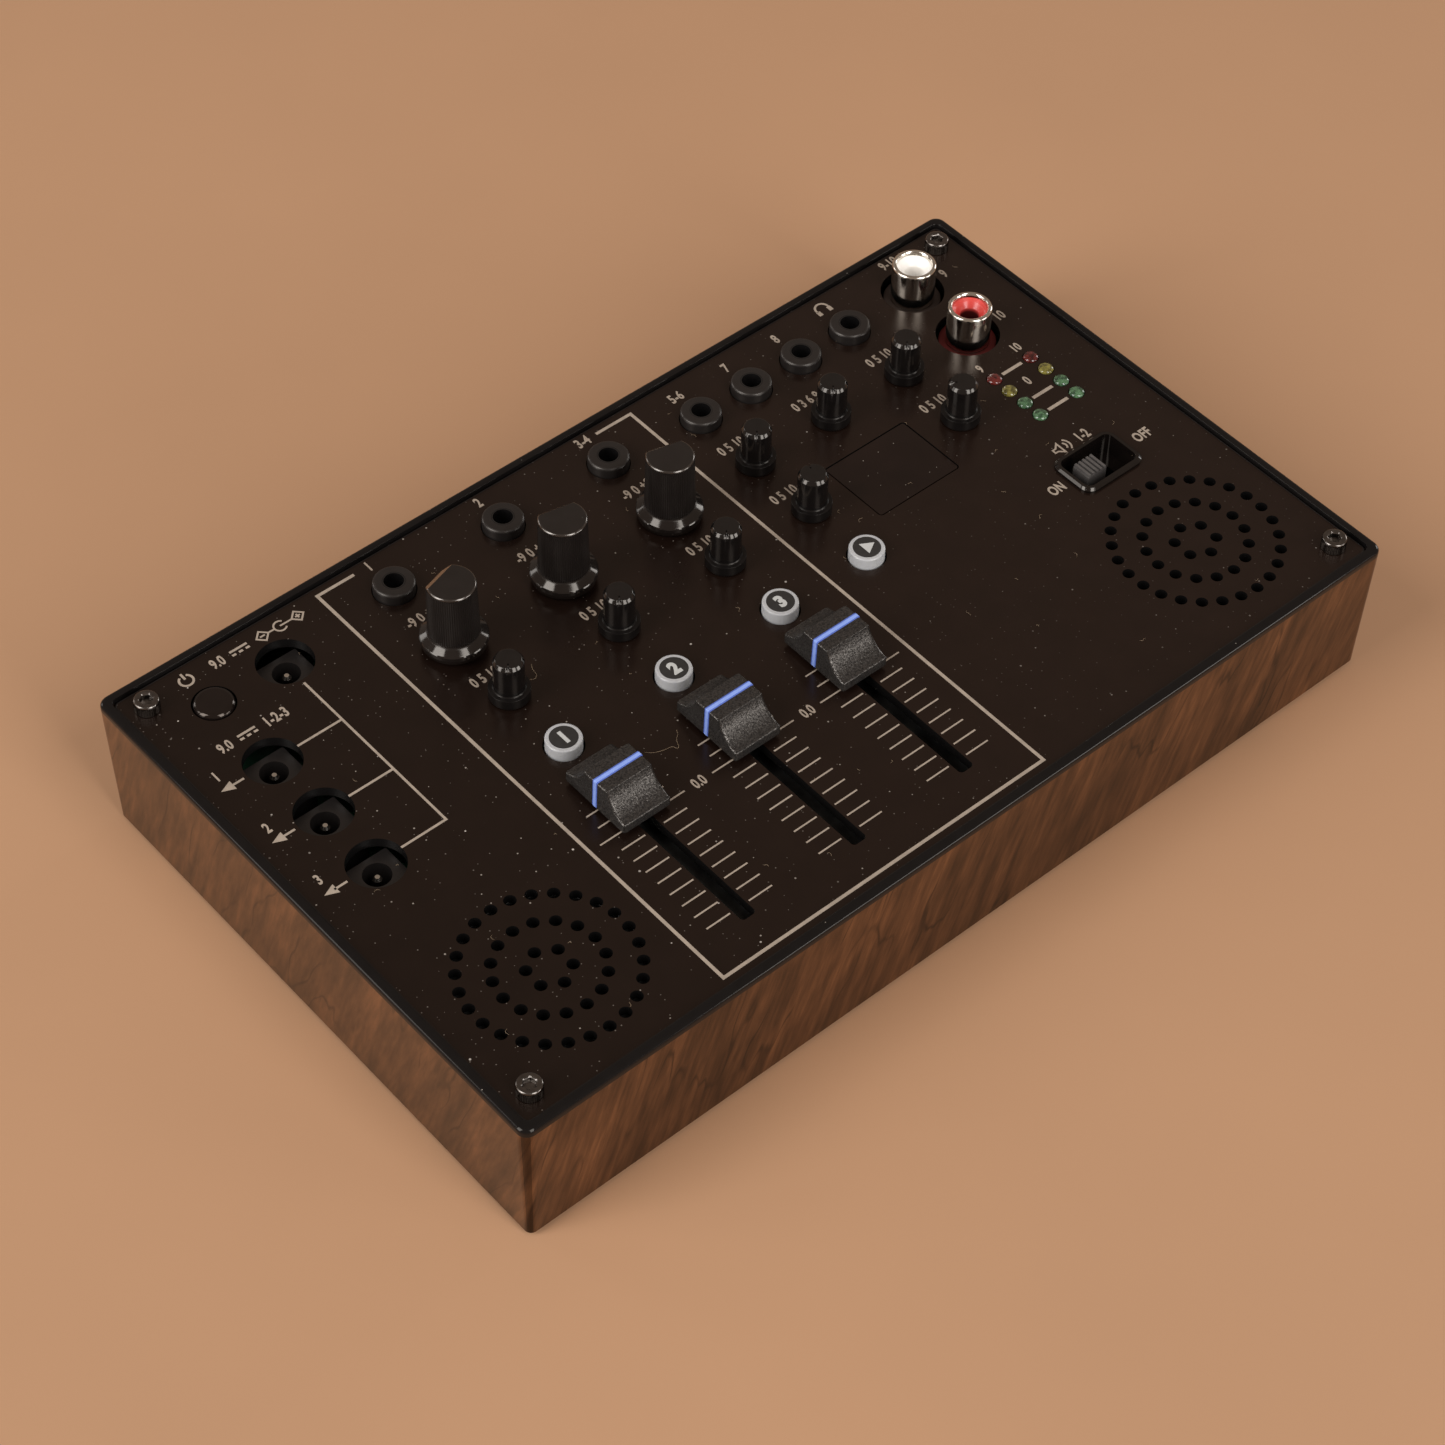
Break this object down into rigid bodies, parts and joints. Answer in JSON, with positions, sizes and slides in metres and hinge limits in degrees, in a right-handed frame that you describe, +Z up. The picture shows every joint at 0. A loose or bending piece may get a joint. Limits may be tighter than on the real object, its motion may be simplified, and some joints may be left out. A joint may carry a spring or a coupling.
{
  "type": "audio mixer",
  "caption": "Compact desktop audio mixer with sliding faders, rotary knobs, lit buttons, level meter, display, jacks and built-in speakers in a low rectangular case.",
  "frame": {"origin": "middle of the case's footprint, on the surface that the feet stand on", "axes": "+X to the operator's right along the longest side, +Y towards the jack row at the back, +Z up out of the panel"},
  "size_m": [0.193, 0.115, 0.0448],
  "materials": {
    "case_finish": "polished dark, mirror-like",
    "rim_black": "glossy black",
    "panel_paint": "satin dark brown-black powder coat with printed beige marks",
    "screw_steel": "black nickel",
    "foot_rubber": "matt",
    "board_green": "solder mask",
    "brass": "plain",
    "plain_steel": "plated",
    "jack_black": "moulded black",
    "phono_nickel": "nickel plated",
    "insert_white": "moulded white",
    "insert_red": "moulded red",
    "lamp_red": "tinted diffuse",
    "lamp_yellow": "tinted diffuse",
    "lamp_green": "tinted diffuse",
    "window_smoke": "smoked, glossy",
    "module_black": "moulded",
    "speaker_metal": "plated",
    "cone_paper": "coated paper",
    "knob_satin": "satin ribbed grip, polished flange",
    "knob_translucent": "glossy smoked",
    "cap_grey": "matt with fine ribs, blue index line",
    "button_milky": "translucent milky ring with a black printed disc",
    "button_black": "satin black",
    "slider_grey": "ribbed"
  },
  "bodies": {
    "chassis": {"case_tub": "case_finish", "top_rim": "rim_black", "top_panel": "panel_paint", "panel_screws": "screw_steel", "rubber_feet": "foot_rubber", "main_board": "board_green", "board_spacers": "brass", "board_screws": "plain_steel", "channel_jacks": "jack_black", "line_jacks": "jack_black", "phono_shell_left": "phono_nickel", "phono_shell_right": "phono_nickel", "phono_insert_left": "insert_white", "phono_insert_right": "insert_red", "dc_jacks": "jack_black", "dc_centre_pins": "plain_steel", "red_lamps": "lamp_red", "yellow_lamps": "lamp_yellow", "green_lamps": "lamp_green", "display_window": "window_smoke", "display_module": "module_black", "speaker_left": "speaker_metal", "speaker_right": "speaker_metal", "speaker_cones": "cone_paper", "fader_body_1": "plain_steel", "fader_body_2": "plain_steel", "fader_body_3": "plain_steel", "large_pots": "module_black", "small_pots": "module_black", "push_switches": "module_black", "slide_switch_housing": "jack_black"},
    "big_knob_1": {"big_knob_1": "knob_satin", "knob_shaft_1": "plain_steel"},
    "big_knob_2": {"big_knob_2": "knob_satin", "knob_shaft_2": "plain_steel"},
    "big_knob_3": {"big_knob_3": "knob_satin", "knob_shaft_3": "plain_steel"},
    "send_knob_1": {"send_knob_1": "knob_translucent"},
    "send_knob_2": {"send_knob_2": "knob_translucent"},
    "send_knob_3": {"send_knob_3": "knob_translucent"},
    "width_knob": {"width_knob": "knob_translucent"},
    "dynamics_knob": {"dynamics_knob": "knob_translucent"},
    "speed_knob": {"speed_knob": "knob_translucent"},
    "tempo_knob": {"tempo_knob": "knob_translucent"},
    "volume_knob": {"volume_knob": "knob_translucent"},
    "fader_1": {"fader_cap_1": "cap_grey", "fader_lever_1": "plain_steel"},
    "fader_2": {"fader_cap_2": "cap_grey", "fader_lever_2": "plain_steel"},
    "fader_3": {"fader_cap_3": "cap_grey", "fader_lever_3": "plain_steel"},
    "mute_button_1": {"mute_button_1": "button_milky"},
    "mute_button_2": {"mute_button_2": "button_milky"},
    "mute_button_3": {"mute_button_3": "button_milky"},
    "play_button": {"play_button": "button_milky"},
    "power_button": {"power_button": "button_black"},
    "speaker_slider": {"speaker_slider": "slider_grey"}
  },
  "joints": [
    {"name": "big_knob_1_turn", "type": "hinge", "parent": "chassis", "child": "big_knob_1", "pos_m": [-0.0421, 0.02946, 0.02915], "axis": [0, 0, 1], "range_deg": [-156, 124]},
    {"name": "big_knob_2_turn", "type": "hinge", "parent": "chassis", "child": "big_knob_2", "pos_m": [-0.0181, 0.02946, 0.02915], "axis": [0, 0, 1], "range_deg": [-128, 152]},
    {"name": "big_knob_3_turn", "type": "hinge", "parent": "chassis", "child": "big_knob_3", "pos_m": [0.0059, 0.02946, 0.02915], "axis": [0, 0, 1], "range_deg": [-126, 154]},
    {"name": "send_knob_1_turn", "type": "hinge", "parent": "chassis", "child": "send_knob_1", "pos_m": [-0.0421, 0.01443, 0.02915], "axis": [0, 0, 1], "range_deg": [-280, 0]},
    {"name": "send_knob_2_turn", "type": "hinge", "parent": "chassis", "child": "send_knob_2", "pos_m": [-0.0181, 0.01443, 0.02915], "axis": [0, 0, 1], "range_deg": [-280, 0]},
    {"name": "send_knob_3_turn", "type": "hinge", "parent": "chassis", "child": "send_knob_3", "pos_m": [0.0059, 0.01443, 0.02915], "axis": [0, 0, 1], "range_deg": [-280, 0]},
    {"name": "width_knob_turn", "type": "hinge", "parent": "chassis", "child": "width_knob", "pos_m": [0.026, 0.02946, 0.02915], "axis": [0, 0, 1], "range_deg": [-280, 0]},
    {"name": "dynamics_knob_turn", "type": "hinge", "parent": "chassis", "child": "dynamics_knob", "pos_m": [0.0441, 0.02946, 0.02915], "axis": [0, 0, 1], "range_deg": [-280, 0]},
    {"name": "speed_knob_turn", "type": "hinge", "parent": "chassis", "child": "speed_knob", "pos_m": [0.0621, 0.02946, 0.02915], "axis": [0, 0, 1], "range_deg": [-280, 0]},
    {"name": "tempo_knob_turn", "type": "hinge", "parent": "chassis", "child": "tempo_knob", "pos_m": [0.026, 0.01443, 0.02915], "axis": [0, 0, 1], "range_deg": [-120, 160]},
    {"name": "volume_knob_turn", "type": "hinge", "parent": "chassis", "child": "volume_knob", "pos_m": [0.0621, 0.01443, 0.02915], "axis": [0, 0, 1], "range_deg": [-200, 80]},
    {"name": "fader_1_slide", "type": "slide", "parent": "chassis", "child": "fader_1", "axis": [0, -1, 0], "range_m": [0, 0.03]},
    {"name": "fader_2_slide", "type": "slide", "parent": "chassis", "child": "fader_2", "axis": [0, -1, 0], "range_m": [0, 0.03]},
    {"name": "fader_3_slide", "type": "slide", "parent": "chassis", "child": "fader_3", "axis": [0, -1, 0], "range_m": [0, 0.03]},
    {"name": "mute_button_1_press", "type": "slide", "parent": "chassis", "child": "mute_button_1", "axis": [0, 0, -1], "range_m": [0, 0.001], "stiffness_N_per_m": 400, "springref_m": -0.0005},
    {"name": "mute_button_2_press", "type": "slide", "parent": "chassis", "child": "mute_button_2", "axis": [0, 0, -1], "range_m": [0, 0.001], "stiffness_N_per_m": 400, "springref_m": -0.0005},
    {"name": "mute_button_3_press", "type": "slide", "parent": "chassis", "child": "mute_button_3", "axis": [0, 0, -1], "range_m": [0, 0.001], "stiffness_N_per_m": 400, "springref_m": -0.0005},
    {"name": "play_button_press", "type": "slide", "parent": "chassis", "child": "play_button", "axis": [0, 0, -1], "range_m": [0, 0.001], "stiffness_N_per_m": 400, "springref_m": -0.0005},
    {"name": "power_button_press", "type": "slide", "parent": "chassis", "child": "power_button", "axis": [0, 0, -1], "range_m": [0, 0.001], "stiffness_N_per_m": 400, "springref_m": -0.0005},
    {"name": "speaker_slider_slide", "type": "slide", "parent": "chassis", "child": "speaker_slider", "axis": [1, 0, 0], "range_m": [0, 0.004]}
  ]
}
